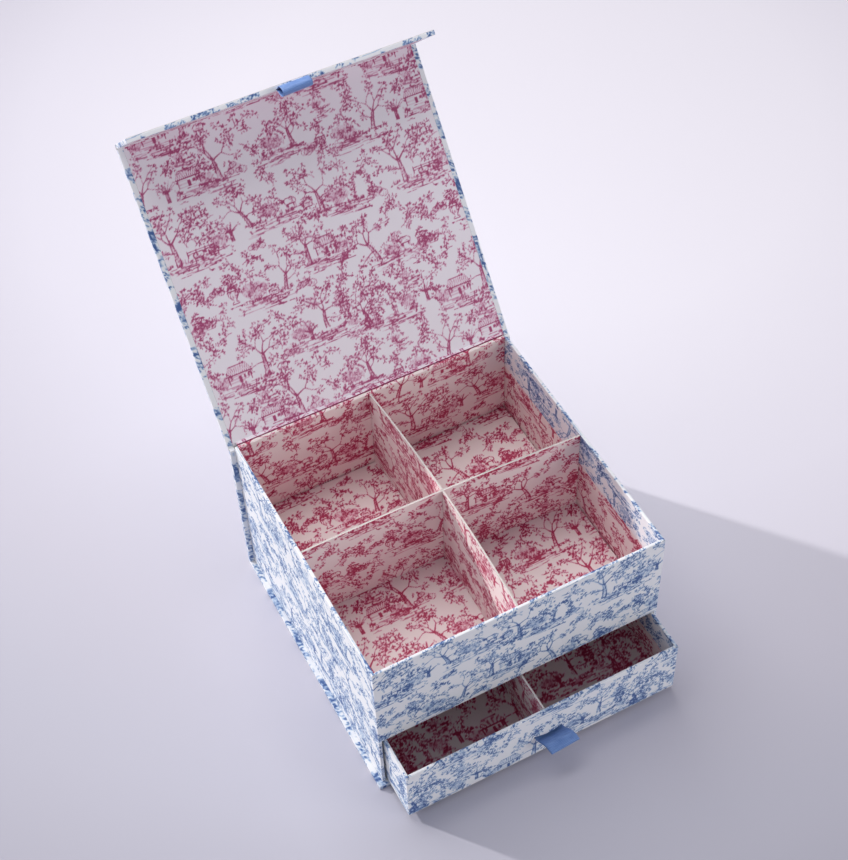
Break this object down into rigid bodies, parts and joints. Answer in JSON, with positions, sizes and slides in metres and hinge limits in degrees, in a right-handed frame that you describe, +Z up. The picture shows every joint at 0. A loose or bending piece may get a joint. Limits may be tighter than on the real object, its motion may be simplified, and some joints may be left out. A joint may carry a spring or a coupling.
{
  "type": "gift box with drawer",
  "caption": "Paper-covered keepsake box with a book-style hinged lid, a folding front flap with a ribbon pull, a divided tray, and a divided drawer below with a ribbon pull.",
  "frame": {"origin": "centre of the underside of the base", "axes": "+X to the right seen from the front, +Y from the drawer front towards the spine, +Z up"},
  "size_m": [0.2068, 0.3674, 0.3191],
  "materials": {
    "blue_print_paper": "matt offset-printed cover paper, blue line scenery on off-white",
    "red_print_paper": "matt offset-printed lining paper, crimson line scenery on pale pink",
    "plain_paper": "uncoated plain paper",
    "divider_card": "thin card faced both sides with the printed lining paper, cut edges bare",
    "greyboard": "raw grey bookbinder's board",
    "ribbon": "woven satin-edged ribbon, cornflower blue",
    "nickel": "nickel-plated disc magnet",
    "steel": "plain steel keeper disc"
  },
  "bodies": {
    "body": {"base_board": "greyboard", "base_cover_paper": "blue_print_paper", "base_lining_paper": "plain_paper", "spine_board": "greyboard", "spine_cover_paper": "blue_print_paper", "left_wall_board": "greyboard", "left_wall_cover_paper": "blue_print_paper", "left_wall_lining_paper": "red_print_paper", "bay_left_lining_paper": "plain_paper", "right_wall_board": "greyboard", "right_wall_cover_paper": "blue_print_paper", "right_wall_lining_paper": "red_print_paper", "bay_right_lining_paper": "plain_paper", "back_wall_board": "greyboard", "back_wall_cover_paper": "blue_print_paper", "back_wall_lining_paper": "red_print_paper", "bay_back_lining_paper": "plain_paper", "front_wall_board": "greyboard", "front_wall_cover_paper": "blue_print_paper", "front_wall_lining_paper": "red_print_paper", "keeper_plate_left": "steel", "keeper_plate_right": "steel", "shelf_board": "greyboard", "tray_floor_board": "greyboard", "tray_floor_paper": "red_print_paper", "long_divider": "divider_card", "cross_divider": "divider_card", "lid_hinge_paper": "blue_print_paper"},
    "lid": {"lid_board": "greyboard", "lid_cover_paper": "blue_print_paper", "lid_lining_paper": "red_print_paper", "flap_hinge_paper": "blue_print_paper"},
    "flap": {"flap_board": "greyboard", "flap_cover_paper": "blue_print_paper", "flap_lining_paper": "red_print_paper", "flap_magnet_left": "nickel", "flap_magnet_right": "nickel", "flap_pull_ribbon": "ribbon"},
    "drawer": {"drawer_front_board": "greyboard", "drawer_front_cover_paper": "blue_print_paper", "drawer_front_lining_paper": "red_print_paper", "drawer_back_board": "greyboard", "drawer_back_cover_paper": "blue_print_paper", "drawer_back_lining_paper": "red_print_paper", "drawer_left_board": "greyboard", "drawer_left_cover_paper": "blue_print_paper", "drawer_left_lining_paper": "red_print_paper", "drawer_right_board": "greyboard", "drawer_right_cover_paper": "blue_print_paper", "drawer_right_lining_paper": "red_print_paper", "drawer_bottom_paper": "blue_print_paper", "drawer_floor_board": "greyboard", "drawer_floor_paper": "red_print_paper", "drawer_divider": "divider_card", "drawer_pull_ribbon": "ribbon"}
  },
  "joints": [
    {"name": "lid_hinge", "type": "hinge", "parent": "body", "child": "lid", "pos_m": [0, 0.0998, 0.126], "axis": [-1, 0, 0], "range_deg": [-127.8, 52.2], "deforming": ["lid_hinge_paper"]},
    {"name": "flap_hinge", "type": "hinge", "parent": "lid", "child": "flap", "pos_m": [0, 0.22612, 0.28379], "axis": [1, 0, 0], "range_deg": [-90.9, 4.1], "deforming": ["flap_hinge_paper"]},
    {"name": "drawer_slide", "type": "slide", "parent": "body", "child": "drawer", "axis": [0, -1, 0], "range_m": [-0.0293, 0.12]}
  ]
}
